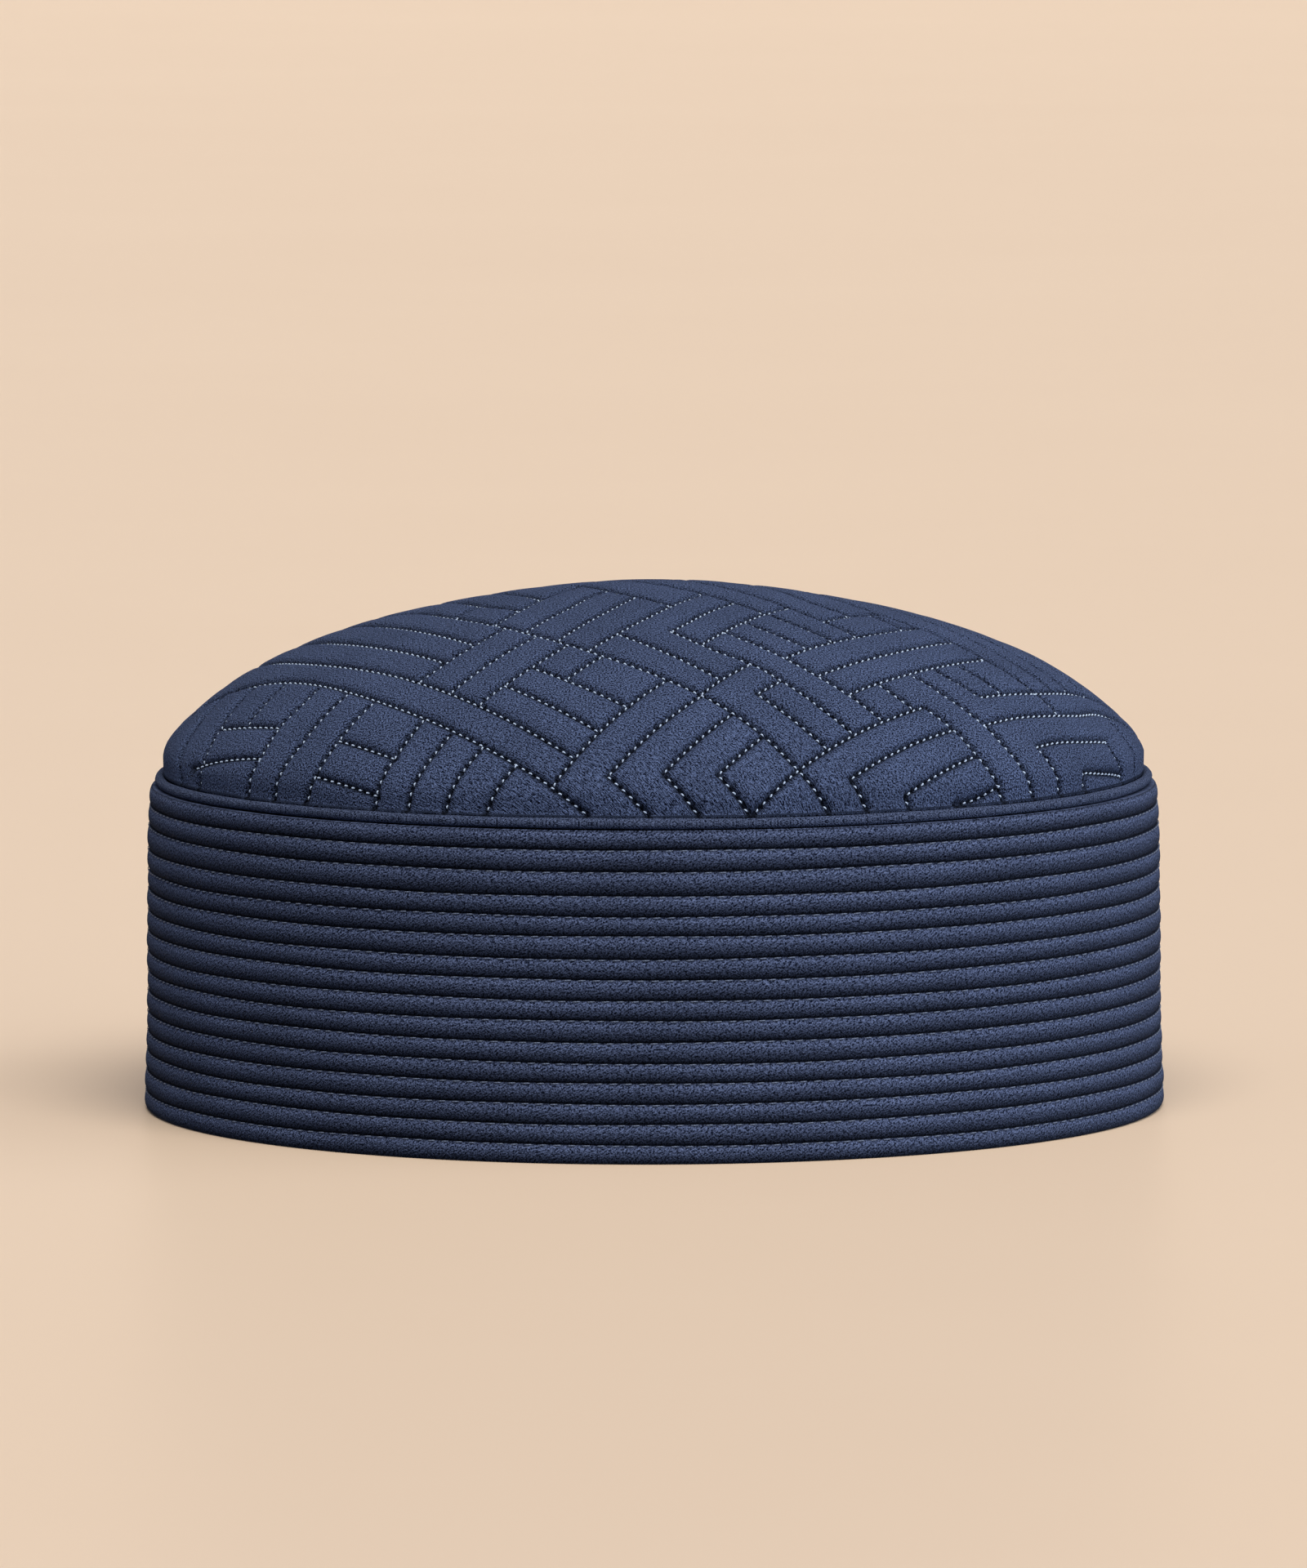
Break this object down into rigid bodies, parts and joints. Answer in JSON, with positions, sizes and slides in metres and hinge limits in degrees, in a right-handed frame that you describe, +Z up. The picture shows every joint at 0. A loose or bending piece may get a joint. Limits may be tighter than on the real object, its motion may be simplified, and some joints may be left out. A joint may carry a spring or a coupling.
{
  "type": "kufi cap",
  "caption": "Round brimless cap with a quilted domed crown, a piped seam and an upright corded band, hollow for the head.",
  "frame": {"origin": "middle of the rim's underside, on the surface that the cap rests on, under the top of the crown", "axes": "+Z up along the cap's axis, from the rim to the top of the crown; -Y is the side that faces the viewer"},
  "size_m": [0.1936, 0.1936, 0.0989],
  "materials": {
    "band_cloth": "matt",
    "crown_cloth": "matt",
    "piping_cloth": "matt",
    "crown_thread": "satin",
    "band_thread": "satin"
  },
  "bodies": {
    "root": {"band": "band_cloth", "crown": "crown_cloth", "crown_piping": "piping_cloth"}
  },
  "joints": []
}
